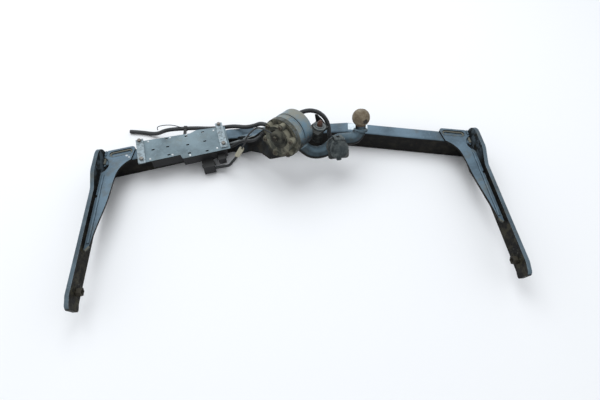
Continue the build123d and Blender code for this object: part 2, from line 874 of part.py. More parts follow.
def report_tube(name, points, radii, radius, volume):
    """Print a tube's tightest corner, its length and its volume beside the expected one."""
    line_length = sum((b - a).length for a, b in zip(points, points[1:]))
    for i, corner in enumerate(radii):
        turn = math.radians((points[i + 1] - points[i]).get_angle(points[i + 2] - points[i + 1]))
        line_length -= corner * (2 * math.tan(turn / 2) - turn)
    expected = math.pi * radius ** 2 * line_length
    print(name, "radii", [round(r) for r in radii], "length", round(line_length), end=" ")
    print("volume share", round(volume / expected, 4))


def tube(name, points, radius):
    """A round tube along straight runs joined by tangent arcs."""
    radii = tube_radii(points, 2000.0)
    with BuildPart() as run:
        with BuildLine():
            FilletPolyline(*points, radius=radii)
        with BuildSketch(Plane(origin=points[0], z_dir=points[1] - points[0])):
            Circle(radius)
        sweep()
    report_tube(name, points, radii, radius, run.part.volume)
    run.part.label = name
    return run.part


gland_exit = NECK.from_local_coords(Vector(-gland_back, -gland_drop, plate_near - gland_length))
head_gland_height = 9.0
conduit_start_x = 12.0
conduit_start_y = 28.0
with BuildPart() as head_gland:
    gland_foot = HUB.offset(head_rear)
    with BuildSketch(gland_foot) as head_gland_plan:
        with Locations((conduit_start_x, conduit_start_y)):
            Circle(gland_radius)
    extrude(amount=head_gland_height)
head_gland.part.label = "head_gland"
export_step(head_gland.part, "parts/head_gland.step")

head_gland_exit = HUB.from_local_coords(
    Vector(conduit_start_x, conduit_start_y, head_rear + head_gland_height)
)
conduit_points = [head_gland_exit, head_gland_exit + hub_axis * 15]
loop_places = [
    (-140, 20, -40),
    (-115, 14, -39),
    (-95, -3, -38),
    (-84, -27, -37),
    (-82, -52, -37),
    (-78, -78, -38),
    (-66, -92, -33),
]
conduit_points += [NECK.from_local_coords(Vector(*place)) for place in loop_places]
conduit_points += [
    NECK.from_local_coords(Vector(-gland_back, -gland_drop, -18)),
    gland_exit,
]
socket_conduit = tube("socket_conduit", conduit_points, conduit_radius)
export_step(socket_conduit, "parts/socket_conduit.step")

# Control module: a case in front of the beam, under a cover plate that two straps hold

cover_points = [
    (cover_end, -cover_rear_end),
    (cover_step - 34, -cover_rear_narrow),
    (cover_step - 54, -cover_rear_bulge),
    (cover_start, -cover_rear),
    (cover_start, cover_front),
    (cover_step, cover_front),
    (cover_step + 5, cover_front_narrow),
    (cover_end, cover_front_narrow),
]
strap_level = beam_height + cover_thickness
strap_middles = {"inner": 28.0, "outer": 262.0}
strap_fronts = {"inner": cover_front - 7, "outer": cover_front_narrow + 2}
front_bolt_inset = 14.0
rear_bolt_inset = 6.5
vent_columns = {79: (-25, 13, 52), 129: (-22, 13, 46), 186: (-28, 4, 36), 228: (4,)}
vent_places = [(column, row) for column, rows in vent_columns.items() for row in rows]
with BuildPart() as module_cover:
    with BuildSketch(LEFT.offset(beam_height)) as cover_plan:
        with BuildLine():
            Polyline(*cover_points, close=True)
        make_face()
        fillet(cover_plan.vertices(), 2.5)
        with Locations(*vent_places):
            SlotOverall(vent_length, vent_width, mode=Mode.SUBTRACT)
        for strap_name, strap_middle in strap_middles.items():
            with Locations((strap_middle, strap_fronts[strap_name] - front_bolt_inset)):
                Circle(strap_bolt_radius, mode=Mode.SUBTRACT)
            with Locations((strap_middle, -strap_rear + rear_bolt_inset)):
                Circle(spacer_radius + gap_clearance, mode=Mode.SUBTRACT)
    extrude(amount=cover_thickness)
module_cover.part.label = "module_cover"
export_step(module_cover.part, "parts/module_cover.step")


def case_face(inset, plane):
    """The module case's plan, drawn in from its outer size by the inset."""
    near = beam_depth / 2 + gap_clearance + inset
    outline = [
        (case_start + inset, near),
        (case_start + inset, case_front - inset),
        (cover_step - inset, case_front - inset),
        (cover_step - inset, case_front_narrow - inset),
        (case_end - inset, case_front_narrow - inset),
        (case_end - inset, near),
    ]
    with BuildSketch(plane) as face:
        with BuildLine():
            Polyline(*outline, close=True)
        make_face()
        fillet(face.vertices(), 2)
    return face.sketch


case_bottom = beam_height - case_height
with BuildPart() as module_case:
    extrude(case_face(0, LEFT.offset(case_bottom)), amount=case_height)
    extrude(
        case_face(case_wall, LEFT.offset(case_bottom + case_wall)),
        amount=case_height,
        mode=Mode.SUBTRACT,
    )
module_case.part.label = "module_case"
export_step(module_case.part, "parts/module_case.step")

post_height = 7.0
board_middle = (beam_depth / 2 + case_front_narrow) / 2
with BuildPart() as circuit_board:
    board_plane = LEFT.offset(case_bottom + case_wall + post_height)
    extrude(case_face(case_wall + 0.5, board_plane), amount=board_thickness)
    with BuildSketch(board_plane.offset(board_thickness)) as board_parts:
        for chip_along, chip_width in ((60, 22), (100, 14), (130, 26), (180, 18)):
            with Locations((chip_along, board_middle)):
                Rectangle(chip_width, 12)
    extrude(amount=6)
    with BuildSketch(LEFT.offset(case_bottom + case_wall)) as post_plan:
        for post_along in (case_start + 12, cover_step - 20, case_end - 14):
            with Locations((post_along, board_middle)):
                Circle(4)
    extrude(amount=post_height)
circuit_board.part.label = "circuit_board"
export_step(circuit_board.part, "parts/circuit_board.step")

# Straps across the cover, with their bolts into rear brackets and into bosses on the case

for strap_name, strap_middle in strap_middles.items():
    strap_front = strap_fronts[strap_name]
    strap_length = strap_front + strap_rear
    with BuildPart() as clamp_strap:
        with BuildSketch(LEFT.offset(strap_level)) as strap_plan:
            with Locations((strap_middle, (strap_front - strap_rear) / 2)):
                RectangleRounded(strap_width, strap_length, 2)
            with Locations(
                (strap_middle, strap_front - front_bolt_inset),
                (strap_middle, -strap_rear + rear_bolt_inset),
            ):
                Circle(strap_bolt_radius, mode=Mode.SUBTRACT)
        extrude(amount=strap_thickness)
    clamp_strap.part.label = f"clamp_strap_{strap_name}"
    export_step(clamp_strap.part, f"parts/clamp_strap_{strap_name}.step")

bracket_leg = 4.0
bracket_drop = 22.0
with BuildPart() as strap_brackets:
    for strap_middle in strap_middles.values():
        with BuildSketch(LEFT.offset(strap_level - cover_thickness)) as seat_plan:
            with Locations((strap_middle, -strap_rear)):
                Rectangle(
                    strap_width - 5,
                    strap_rear - beam_depth / 2,
                    align=(Align.CENTER, Align.MIN),
                )
            with Locations((strap_middle, -strap_rear + rear_bolt_inset)):
                Circle(strap_bolt_radius, mode=Mode.SUBTRACT)
        extrude(amount=-bracket_leg)
        with BuildSketch(LEFT.offset(strap_level - cover_thickness)) as leg_plan:
            with Locations((strap_middle, -beam_depth / 2)):
                Rectangle(strap_width - 5, bracket_leg, align=(Align.CENTER, Align.MAX))
        extrude(amount=-bracket_drop)
strap_brackets.part.label = "strap_brackets"
export_step(strap_brackets.part, "parts/strap_brackets.step")

with BuildPart() as strap_spacers:
    for strap_middle in strap_middles.values():
        with BuildSketch(LEFT.offset(beam_height)) as spacer_plan:
            with Locations((strap_middle, -strap_rear + rear_bolt_inset)):
                Circle(spacer_radius)
                Circle(strap_bolt_radius, mode=Mode.SUBTRACT)
        extrude(amount=cover_thickness)
strap_spacers.part.label = "strap_spacers"
export_step(strap_spacers.part, "parts/strap_spacers.step")

with BuildPart() as strap_bolts:
    for strap_name, strap_middle in strap_middles.items():
        bolt_places = (
            (strap_middle, strap_fronts[strap_name] - front_bolt_inset, cover_thickness),
            (strap_middle, -strap_rear + rear_bolt_inset, cover_thickness + bracket_leg),
        )
        for bolt_along, bolt_out, bolt_grip in bolt_places:
            with BuildSketch(LEFT.offset(strap_level + strap_thickness)) as bolt_head_plan:
                with Locations((bolt_along, bolt_out)):
                    RegularPolygon(strap_bolt_width / 2, 6, major_radius=False)
            extrude(amount=strap_bolt_height)
            with BuildSketch(LEFT.offset(strap_level + strap_thickness)) as bolt_shank_plan:
                with Locations((bolt_along, bolt_out)):
                    Circle(strap_bolt_radius)
            extrude(amount=-strap_thickness - bolt_grip)
strap_bolts.part.label = "strap_bolts"
export_step(strap_bolts.part, "parts/strap_bolts.step")

rivet_places = [(47, -22), (127, -27), (175, -29), (238, -32), (49, 50), (128, 55), (176, 39), (239, 37)]
with BuildPart() as cover_rivets:
    with BuildSketch(LEFT.offset(strap_level)) as rivet_plan:
        with Locations(*rivet_places):
            Circle(rivet_radius)
    extrude(amount=rivet_height, taper=25)
cover_rivets.part.label = "cover_rivets"
export_step(cover_rivets.part, "parts/cover_rivets.step")

# Connectors plugged into the front of the case

connector_places = {"large": (84.0, 34.0, 30.0, 8.0, 30.0), "small": (42.0, 22.0, 22.0, 30.0, 20.0)}
for connector_name, sizes in connector_places.items():
    connector_along, connector_span, connector_reach, connector_low, connector_tall = sizes
    with BuildPart() as connector:
        with BuildSketch(LEFT.offset(connector_low)) as connector_plan:
            with Locations((connector_along, case_front)):
                Rectangle(connector_span, connector_reach, align=(Align.CENTER, Align.MIN))
        extrude(amount=connector_tall)
        chamfer(connector.edges().filter_by(Axis.Z), 2)
        with BuildSketch(LEFT.offset(connector_low + connector_tall / 2 - 4)) as latch_plan:
            with Locations((connector_along, case_front + connector_reach * 0.35)):
                Rectangle(connector_span + 5, 7)
        extrude(amount=8)
    connector.part.label = f"module_connector_{connector_name}"
    export_step(connector.part, f"parts/module_connector_{connector_name}.step")

# Gland of the loom on the drum, and gland of the harness on the front of the hub bracket

drum_gland_length = 14.0
drum_gland_s = -12.0
loom_gland_angle = math.radians(-6)
loom_way = HUB.x_dir * math.cos(loom_gland_angle) + HUB.y_dir * math.sin(loom_gland_angle)
loom_gland_plane = Plane(
    origin=hub_centre + hub_axis * drum_gland_s + loom_way * (hub_radius - 4),
    x_dir=hub_axis,
    z_dir=loom_way,
)
loom_exit = loom_gland_plane.offset(4 + drum_gland_length).origin
with BuildPart() as loom_gland:
    extrude(disc(loom_gland_plane, gland_radius), amount=4 + drum_gland_length - 5)
    extrude(disc(loom_gland_plane.offset(4 + drum_gland_length - 5), gland_radius - 2), amount=5)
    extrude(
        disc(HUB.offset(drum_gland_s - gland_radius - 1), hub_radius),
        amount=2 * gland_radius + 2,
        mode=Mode.SUBTRACT,
    )
loom_gland.part.label = "loom_gland"
export_step(loom_gland.part, "parts/loom_gland.step")

harness_radius = 4.5
harness_gland_x = 60.0
harness_gland_y = -20.0
HARNESS = Plane(
    origin=HUB.from_local_coords(Vector(harness_gland_x, harness_gland_y, bracket_front)),
    x_dir=HUB.x_dir,
    z_dir=hub_axis * -1,
)
harness_exit = HARNESS.offset(drum_gland_length).origin
with BuildPart() as harness_gland:
    extrude(disc(HARNESS, gland_radius - 1), amount=drum_gland_length - 5)
    extrude(disc(HARNESS.offset(drum_gland_length - 5), gland_radius - 2.5), amount=5)
harness_gland.part.label = "harness_gland"
export_step(harness_gland.part, "parts/harness_gland.step")

# Cables. Their points are chosen by hand, in the part's own frame

loom_y = 35.0
loom_level = beam_height - 5.0
passing_level = beam_height - 13.5
main_loom_points = [
    loom_exit,
    loom_exit + loom_way * 20,
    Vector(-100, -22, 113),
    Vector(-128, -2, beam_height + 23),
    Vector(-154, 17, beam_height + 10),
    Vector(-178, 32, beam_height - 4),
    Vector(-202, loom_y + 3, passing_level),
    Vector(-240, loom_y + 2, passing_level),
    Vector(-284, loom_y, loom_level),
    Vector(-326, loom_y, loom_level),
]
main_loom = tube("main_loom", main_loom_points, loom_radius)
export_step(main_loom, "parts/main_loom.step")

ground_level = loom_radius + 0.4
loom_tail_points = [
    main_loom_points[-1],
    Vector(-352, loom_y, loom_level),
    Vector(-380, 44, 46),
    Vector(-404, 59, 21),
    Vector(-430, 73, ground_level),
    Vector(-466, 83, ground_level),
    Vector(-500, 88, ground_level),
]
loom_tail = tube("loom_tail", loom_tail_points, loom_radius)
export_step(loom_tail, "parts/loom_tail.step")

harness_points = [
    LEFT.from_local_coords(Vector(case_start, 40, 50)),
    LEFT.from_local_coords(Vector(case_start - 18, 40, 50)),
    Vector(-150, -50, 76),
    Vector(-129, -68, 103),
    Vector(-112, -90, 124),
    harness_exit + hub_axis * -22,
    harness_exit,
]
motor_harness = tube("motor_harness", harness_points, harness_radius)
export_step(motor_harness, "parts/motor_harness.step")

large_along, large_span, large_reach, large_low, large_tall = connector_places["large"]
signal_start = LEFT.from_local_coords(
    Vector(large_along - large_span / 2, case_front + large_reach * 0.7, large_low + 9)
)
signal_points = [
    signal_start,
    signal_start + LEFT.x_dir * -16,
    Vector(-181, -101, 36),
    Vector(-168, -106, 61),
    Vector(-159, -108, 75),
    Vector(-153, -108, 86),
]
signal_cable = tube("signal_cable", signal_points, signal_radius)
export_step(signal_cable, "parts/signal_cable.step")

tag_way = (signal_points[-1] - signal_points[-2]).normalized()
tag_end = signal_points[-1] + tag_way * tag_length
with BuildPart() as cable_tag:
    with BuildSketch(Plane(origin=signal_points[-1], z_dir=tag_way)) as tag_plan:
        RectangleRounded(2 * tag_radius, 1.5 * tag_radius, 3)
    extrude(amount=tag_length)
cable_tag.part.label = "cable_tag"
export_step(cable_tag.part, "parts/cable_tag.step")

wire_end = MOTOR.from_local_coords(Vector(dome_radius, 0, flange_front - 9))
wire_points = [
    tag_end,
    tag_end + tag_way * 18,
    Vector(-118, -110, 163),
    Vector(-103, -108, 182),
    Vector(-86, -102, 190),
    wire_end + hub_side * 14,
    wire_end,
]
signal_wire = tube("signal_wire", wire_points, wire_radius)
export_step(signal_wire, "parts/signal_wire.step")

# Clip that holds the loom behind the cover

clip_x = -311.0
clip_width = 9.0
clip_foot_y = -8.0
clip_plane = Plane(origin=(clip_x, 0, 0), x_dir=(0, 1, 0), z_dir=(1, 0, 0))
with BuildPart() as loom_clip:
    with BuildSketch(clip_plane) as clip_section:
        with Locations((loom_y, loom_level)):
            Circle(loom_radius + 2)
        with Locations((clip_foot_y, beam_height)):
            Rectangle(loom_y - clip_foot_y, 2, align=(Align.MIN, Align.MAX))
        with Locations((loom_y, loom_level)):
            Circle(loom_radius + 0.2, mode=Mode.SUBTRACT)
    extrude(amount=clip_width / 2, both=True)
loom_clip.part.label = "loom_clip"
export_step(loom_clip.part, "parts/loom_clip.step")
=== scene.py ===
import json
import math
import random

import bpy
import bmesh
from mathutils import Matrix, Vector, noise


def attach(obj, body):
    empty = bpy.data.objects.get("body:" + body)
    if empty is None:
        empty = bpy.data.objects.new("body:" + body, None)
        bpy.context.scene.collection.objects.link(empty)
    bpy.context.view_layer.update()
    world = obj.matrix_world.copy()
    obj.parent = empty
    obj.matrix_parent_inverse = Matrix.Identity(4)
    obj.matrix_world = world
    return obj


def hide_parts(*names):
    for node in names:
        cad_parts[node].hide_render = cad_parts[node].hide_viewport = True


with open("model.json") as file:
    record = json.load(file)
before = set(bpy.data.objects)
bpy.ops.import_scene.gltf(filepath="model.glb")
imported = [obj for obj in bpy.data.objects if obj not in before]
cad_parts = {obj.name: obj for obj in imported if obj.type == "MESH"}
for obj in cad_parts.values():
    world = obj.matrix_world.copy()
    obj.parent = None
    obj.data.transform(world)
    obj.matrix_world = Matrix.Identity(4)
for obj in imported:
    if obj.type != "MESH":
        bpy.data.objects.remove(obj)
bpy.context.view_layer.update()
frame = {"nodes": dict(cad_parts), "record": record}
nodes = frame["nodes"]
random.seed(7)

# The photo's camera: its place in metres, where it looks, and its lens
IMAGE_WIDTH = 600
FOCAL_PIXELS = 433.0
SENSOR_WIDTH = 36
CAMERA_PLACE = Vector((-0.0451, -0.9133, 1.0159))
PITCH, YAW, ROLL = (math.radians(angle) for angle in (55.33, 4.97, 0.36))

look = Vector((math.sin(YAW) * math.cos(PITCH), math.cos(YAW) * math.cos(PITCH), -math.sin(PITCH)))
level_right = Vector((math.cos(YAW), -math.sin(YAW), 0))
level_up = level_right.cross(look)
right = level_right * math.cos(ROLL) + level_up * math.sin(ROLL)
up = level_up * math.cos(ROLL) - level_right * math.sin(ROLL)
camera_data = bpy.data.cameras.new("camera")
camera_data.sensor_width = SENSOR_WIDTH
camera_data.lens = FOCAL_PIXELS / IMAGE_WIDTH * SENSOR_WIDTH
camera = bpy.data.objects.new("camera", camera_data)
camera.matrix_world = Matrix((
    (right.x, up.x, -look.x, CAMERA_PLACE.x),
    (right.y, up.y, -look.y, CAMERA_PLACE.y),
    (right.z, up.z, -look.z, CAMERA_PLACE.z),
    (0, 0, 0, 1),
))
bpy.context.scene.collection.objects.link(camera)
bpy.context.scene.camera = camera

# Places and directions of the part that pieces and marks are placed by, in metres
HUB_CENTRE = Vector((-0.004, -0.085, 0.144))
HUB_X = Vector((-0.743145, 0.669131, 0.0))
HUB_Z = Vector((0.657929, 0.730704, -0.182236))
HUB_Y = HUB_Z.cross(HUB_X)
BALL = Vector((0.19971, -0.051681, 0.151631))
BALL_RADIUS = 0.025
NECK_DOWN = Vector((-0.014520, -0.457998, -0.888834))
BEND = Vector((-0.175, 0, 0))
LEFT_X = Vector((-0.978148, -0.207912, 0))
LEFT_Y = Vector((0.207912, -0.978148, 0))
BEND_ANGLE = 12


def hub(x, y, along):
    """A point by its millimetres across and along the hub's axis."""
    return HUB_CENTRE + (HUB_X * x + HUB_Y * y + HUB_Z * along) / 1000


def left(x, y, z):
    """A point by its millimetres along, in front of and above the beam's left length."""
    return BEND + (LEFT_X * x + LEFT_Y * y + Vector((0, 0, z))) / 1000


# Materials

class Graph:
    """A material's nodes, built by short calls."""

    def __init__(self, name):
        self.material = bpy.data.materials.new(name)
        self.material.use_nodes = True
        self.tree = self.material.node_tree
        self.tree.nodes.clear()
        output = self.add("ShaderNodeOutputMaterial")
        self.shader = self.add("ShaderNodeBsdfPrincipled")
        self.link(self.shader.outputs[0], output.inputs[0])
        coordinates = self.add("ShaderNodeTexCoord")
        self.place = coordinates.outputs["Object"]
        self.normal = coordinates.outputs["Normal"]

    def add(self, kind):
        return self.tree.nodes.new(kind)

    def link(self, source, target):
        self.tree.links.new(source, target)

    def feed(self, socket, value):
        """Links a value that changes over the surface, and sets one that doesn't on the socket."""
        if isinstance(value, bpy.types.NodeSocket):
            self.link(value, socket)
        elif isinstance(value, tuple) and socket.type == "RGBA":
            socket.default_value = (*value, 1)
        else:
            socket.default_value = value

    def math(self, operation, a, b):
        node = self.add("ShaderNodeMath")
        node.operation = operation
        self.feed(node.inputs[0], a)
        self.feed(node.inputs[1], b)
        return node.outputs[0]

    def times(self, a, b):
        return self.math("MULTIPLY", a, b)

    def centred(self, value):
        """Turns a noise about 0.5 into one about 0."""
        return self.math("SUBTRACT", value, 0.5)

    def step(self, value, low, high, to_low=0.0, to_high=1.0):
        """A smooth step from one level to another as the value goes from low to high."""
        node = self.add("ShaderNodeMapRange")
        node.interpolation_type = "SMOOTHSTEP"
        for socket, number in zip(node.inputs, (value, low, high, to_low, to_high)):
            self.feed(socket, number)
        return node.outputs[0]

    def mix(self, share, a, b):
        """The first colour where the share is 0, and the second where it is 1."""
        node = self.add("ShaderNodeMix")
        node.data_type = "RGBA"
        self.feed(node.inputs[0], share)
        self.feed(node.inputs[6], a)
        self.feed(node.inputs[7], b)
        return node.outputs[2]

    def noise(self, scale, detail=4.0, roughness=0.55, distortion=0.0, place=None):
        node = self.add("ShaderNodeTexNoise")
        self.feed(node.inputs["Vector"], place or self.place)
        self.feed(node.inputs["Scale"], scale)
        self.feed(node.inputs["Detail"], detail)
        self.feed(node.inputs["Roughness"], roughness)
        self.feed(node.inputs["Distortion"], distortion)
        return node.outputs["Fac"]

    def patches(self, scale, detail, roughness, low, high, share=1.0, distortion=0.0):
        """Irregular patches: 0 between them, and the share inside. Low and high set how much they cover."""
        return self.step(self.noise(scale, detail, roughness, distortion), low, high, 0.0, share)

    def stretched(self, x, y, z):
        """The place, with each axis scaled, for streaks."""
        node = self.add("ShaderNodeMapping")
        self.feed(node.inputs["Vector"], self.place)
        node.inputs["Scale"].default_value = (x, y, z)
        return node.outputs[0]

    def along(self, source, direction):
        """How far a vector goes in a direction."""
        node = self.add("ShaderNodeVectorMath")
        node.operation = "DOT_PRODUCT"
        self.feed(node.inputs[0], source)
        node.inputs[1].default_value = direction
        return node.outputs["Value"]

    def upward(self):
        """1 where the surface faces up and -1 where it faces down."""
        return self.along(self.normal, (0, 0, 1))

    def distance(self, point):
        """How far the surface is from a point."""
        node = self.add("ShaderNodeVectorMath")
        node.operation = "DISTANCE"
        self.feed(node.inputs[0], self.place)
        node.inputs[1].default_value = tuple(point)
        return node.outputs["Value"]

    def nearest(self, *points):
        """The distance to the nearest of some points."""
        shortest = self.distance(points[0])
        for point in points[1:]:
            shortest = self.math("MINIMUM", shortest, self.distance(point))
        return shortest

    def edges(self, radius=0.0012):
        """1 on the sharp edges of the mesh and 0 on its faces."""
        rounded = self.add("ShaderNodeBevel")
        rounded.samples = 4
        rounded.inputs["Radius"].default_value = radius
        geometry = self.add("ShaderNodeNewGeometry")
        dot = self.add("ShaderNodeVectorMath")
        dot.operation = "DOT_PRODUCT"
        self.link(rounded.outputs[0], dot.inputs[0])
        self.link(geometry.outputs["Normal"], dot.inputs[1])
        return self.step(dot.outputs["Value"], 0.99, 0.82)

    def bump(self, *layers):
        """Adds bumps, each given by a height, a distance in metres and a strength."""
        previous = None
        for height, distance, strength in layers:
            node = self.add("ShaderNodeBump")
            node.inputs["Distance"].default_value = distance
            node.inputs["Strength"].default_value = strength
            self.feed(node.inputs["Height"], height)
            if previous:
                self.link(previous, node.inputs["Normal"])
            previous = node.outputs[0]
        self.link(previous, self.shader.inputs["Normal"])

    def done(self, colour, roughness, metallic=0.0, specular=0.5):
        self.feed(self.shader.inputs["Base Color"], colour)
        self.feed(self.shader.inputs["Roughness"], roughness)
        self.feed(self.shader.inputs["Metallic"], metallic)
        self.shader.inputs["Specular IOR Level"].default_value = specular
        return self.material


STEEL_TOP = (0.118, 0.172, 0.215)
PLATE_TOP = (0.088, 0.119, 0.140)
# Painted shade: the near-black colour of faces turned away from the light.
STEEL_PAINTED_SHADE = (0.0030, 0.0028, 0.0026)
SIDE_GRIME = (0.017, 0.015, 0.010)
TAN_FILM = (0.165, 0.170, 0.145)
# Worn edges: a painted lit copy for up-facing faces and a painted shaded copy for the others.
WORN_EDGE_PAINTED_LIT = (0.32, 0.37, 0.40)
WORN_EDGE_PAINTED_SHADE = (0.07, 0.08, 0.085)
MUD = (0.115, 0.100, 0.068)
DRY_MUD = (0.230, 0.215, 0.165)
RUST = (0.105, 0.042, 0.018)


def scaled(colour, factor):
    return tuple(part * factor for part in colour)


def worn_paint(name, top=STEEL_TOP, mud=0.35, rust=0.25, dust_and_light_range=(0.1, 0.75), gloss=0.13, marks=None):
    """Dark paint, blue-grey where it faces up from dust and painted light, and painted near-black shade on the
    faces turned away.
    """
    g = Graph(name)
    upward = g.upward()
    blotch = g.noise(9, 5, 0.6)
    fine = g.noise(260, 3, 0.6)
    streak = g.noise(30, 4, 0.6, 0.4, g.stretched(1, 1, 0.25))
    # Share of the lit top: 1 where the face turns up, as dust and painted light, and 0 where it turns away, as
    # painted shade.
    dust_and_light = g.step(g.math("ADD", upward, g.times(g.centred(streak), 0.5)), *dust_and_light_range)
    top_colour = g.mix(g.step(blotch, 0.32, 0.68), scaled(top, 0.62), scaled(top, 1.22))
    top_colour = g.mix(g.patches(140, 6, 0.75, 0.54, 0.70, 0.35), top_colour, scaled(top, 2.0))
    tan = g.times(g.patches(17, 6, 0.7, 0.55, 0.72), 0.35)
    top_colour = g.mix(tan, top_colour, TAN_FILM)
    grime = g.times(g.patches(55, 6, 0.7, 0.46, 0.70), 0.8)
    side_colour = g.mix(grime, STEEL_PAINTED_SHADE, SIDE_GRIME)
    colour = g.mix(dust_and_light, side_colour, top_colour)
    dirt = g.times(g.patches(22, 6, 0.65, 0.52, 0.68), mud)
    # Mud, with a painted shaded copy a quarter as bright on faces turned away.
    colour = g.mix(dirt, colour, g.mix(dust_and_light, scaled(MUD, 0.25), MUD))
    chips = g.times(g.patches(70, 5, 0.7, 0.66, 0.70), rust)
    colour = g.mix(chips, colour, RUST)
    # Wear on sharp edges, painted lit on up-facing faces and painted shaded on the others.
    edge = g.times(g.times(g.edges(), g.patches(120, 3, 0.55, 0.35, 0.6)), 0.8)
    colour = g.mix(edge, colour, g.mix(dust_and_light, WORN_EDGE_PAINTED_SHADE, WORN_EDGE_PAINTED_LIT))
    if marks:
        colour = marks(g, colour, upward)
    g.bump((fine, 0.0003, 0.35), (blotch, 0.0012, 0.25))
    return g.done(colour, g.step(fine, 0.2, 0.8, 0.42, 0.62), specular=gloss)


def hub_mud(g, colour, upward):
    """Tan dust on the upper parts of the drum, with pale specks and rust stains."""
    dust = g.math("ADD", g.noise(26, 6, 0.68), g.times(upward, 0.30))
    colour = g.mix(g.step(dust, 0.53, 0.86, 0.0, 0.8), colour, DRY_MUD)
    colour = g.mix(g.patches(210, 4, 0.7, 0.60, 0.68, 0.6), colour, (0.30, 0.33, 0.31))
    return g.mix(g.patches(60, 4, 0.7, 0.61, 0.68, 0.5), colour, (0.15, 0.09, 0.05))


def neck_marks(g, colour, upward):
    """The drum's dust on the neck's head, with painted light and shade, and the bare, rusty ball with a painted
    dark shade patch on its lower side toward the camera.
    """
    head = g.step(g.distance(hub(0, 0, 20)), 0.0575, 0.0595, 1.0, 0.0)
    # The head's paint: a painted lit copy facing up and a painted shaded copy facing down.
    drum_lit_and_shaded = g.mix(g.step(upward, -0.1, 0.6), (0.02, 0.026, 0.03), (0.138, 0.216, 0.268))
    colour = g.mix(head, colour, hub_mud(g, drum_lit_and_shaded, upward))
    bare = g.mix(g.patches(75, 6, 0.7, 0.35, 0.68), (0.115, 0.088, 0.058), (0.225, 0.190, 0.135))
    bare = g.mix(g.patches(240, 4, 0.7, 0.58, 0.70, 0.6), bare, (0.09, 0.045, 0.022))
    # Painted shade: a near-black patch on the ball's lower side toward the camera.
    dark_mark = BALL + (look * -0.66 + right * 0.42 - up * 0.62).normalized() * BALL_RADIUS
    dark_mark_edge = g.math("ADD", g.distance(dark_mark), g.times(g.centred(g.noise(150, 4)), 0.014))
    bare = g.mix(g.step(dark_mark_edge, 0.0062, 0.0088, 0.92, 0.0), bare, (0.022, 0.020, 0.018))
    waist = BALL + NECK_DOWN * 0.024
    bare = g.mix(g.step(g.distance(waist), 0.014, 0.021, 0.7, 0.0), bare, (0.07, 0.035, 0.02))
    ball = g.step(g.distance(BALL), 0.0258, 0.0275, 1.0, 0.0)
    return g.mix(ball, colour, bare)


def bracket_mud(g, colour, upward):
    """Mud on the bracket around the flange casting."""
    near = g.math("ADD", g.distance(hub(0, 0, -36)), g.times(g.centred(g.noise(60, 4)), 0.02))
    lumps = g.mix(g.patches(80, 6, 0.7, 0.35, 0.70), (0.035, 0.036, 0.029), (0.150, 0.142, 0.105))
    return g.mix(g.step(near, 0.056, 0.070, 0.9, 0.0), colour, lumps)


def plate_marks(g, colour, upward):
    """Pale dust on the plates' ears, mud on their inner faces, scratches by the weld nuts, and specks painted
    lit blue-grey on up-facing faces and painted dark shade on the others.
    """
    ear = g.step(g.nearest((-0.53, -0.10, 0.085), (0.53, -0.10, 0.085)), 0.03, 0.085, 1.0, 0.0)
    dust = g.times(ear, g.patches(48, 5, 0.7, 0.43, 0.58, 0.8))
    colour = g.mix(dust, colour, (0.075, 0.098, 0.115))
    level = g.step(upward, 0.3, 0.8)
    front = g.step(g.along(g.place, (0, 1, 0)), -0.40, -0.27, 1.0, 0.15)
    brown = g.times(g.patches(34, 6, 0.72, 0.48, 0.60), front)
    colour = g.mix(g.times(brown, g.math("SUBTRACT", 1.0, level)), colour, (0.030, 0.027, 0.017))
    nut = g.step(g.nearest((-0.528, -0.462, 0.058), (0.528, -0.462, 0.058)), 0.012, 0.040, 1.0, 0.10)
    scratches = g.patches(230, 5, 0.7, 0.57, 0.63, 0.65, distortion=0.6)
    colour = g.mix(g.times(scratches, nut), colour, (0.12, 0.125, 0.115))
    # Specks in a painted lit copy on up-facing faces and a painted shaded copy on the others.
    speckle = g.patches(190, 5, 0.75, 0.58, 0.68, 0.4)
    return g.mix(speckle, colour, g.mix(level, (0.030, 0.028, 0.020), (0.17, 0.21, 0.235)))


def gusset_scuffs(g, colour, upward):
    """White scratches on the left gusset's head."""
    rough = g.times(g.centred(g.noise(160, 4, 0.7)), 0.016)
    share = 0.0
    for x, y in ((-0.4865, -0.0565), (-0.4780, -0.0630), (-0.4695, -0.0690), (-0.4610, -0.0752)):
        near = g.math("ADD", g.distance((x, y, 0.071)), rough)
        share = g.math("MAXIMUM", share, g.step(near, 0.0022, 0.0048, 0.8, 0.0))
    return g.mix(share, colour, (0.62, 0.64, 0.63))


def rubber(name, base=(0.012, 0.012, 0.013), dust=(0.10, 0.11, 0.11), cover=0.45):
    """Rubber or plastic under a film of dust, thickest where it faces up."""
    g = Graph(name)
    film = g.step(g.math("ADD", g.upward(), g.centred(g.noise(35, 5))), 0.1, 0.9)
    colour = g.mix(g.times(film, cover), base, dust)
    fine = g.noise(420, 3)
    g.bump((fine, 0.0002, 0.4))
    return g.done(colour, g.step(fine, 0.2, 0.8, 0.5, 0.75), specular=0.4)


def bare_metal(name, base=(0.42, 0.44, 0.45), dark_mark=(0.14, 0.13, 0.11), rust=0.3, metallic=0.85):
    """Unpainted metal with stains and rust."""
    g = Graph(name)
    blotch = g.noise(160, 5, 0.6)
    colour = g.mix(g.step(blotch, 0.42, 0.66), base, dark_mark)
    colour = g.mix(g.times(g.patches(90, 5, 0.7, 0.55, 0.66), rust), colour, RUST)
    g.bump((g.noise(600, 3), 0.0002, 0.4))
    return g.done(colour, g.step(blotch, 0.3, 0.7, 0.28, 0.6), metallic)


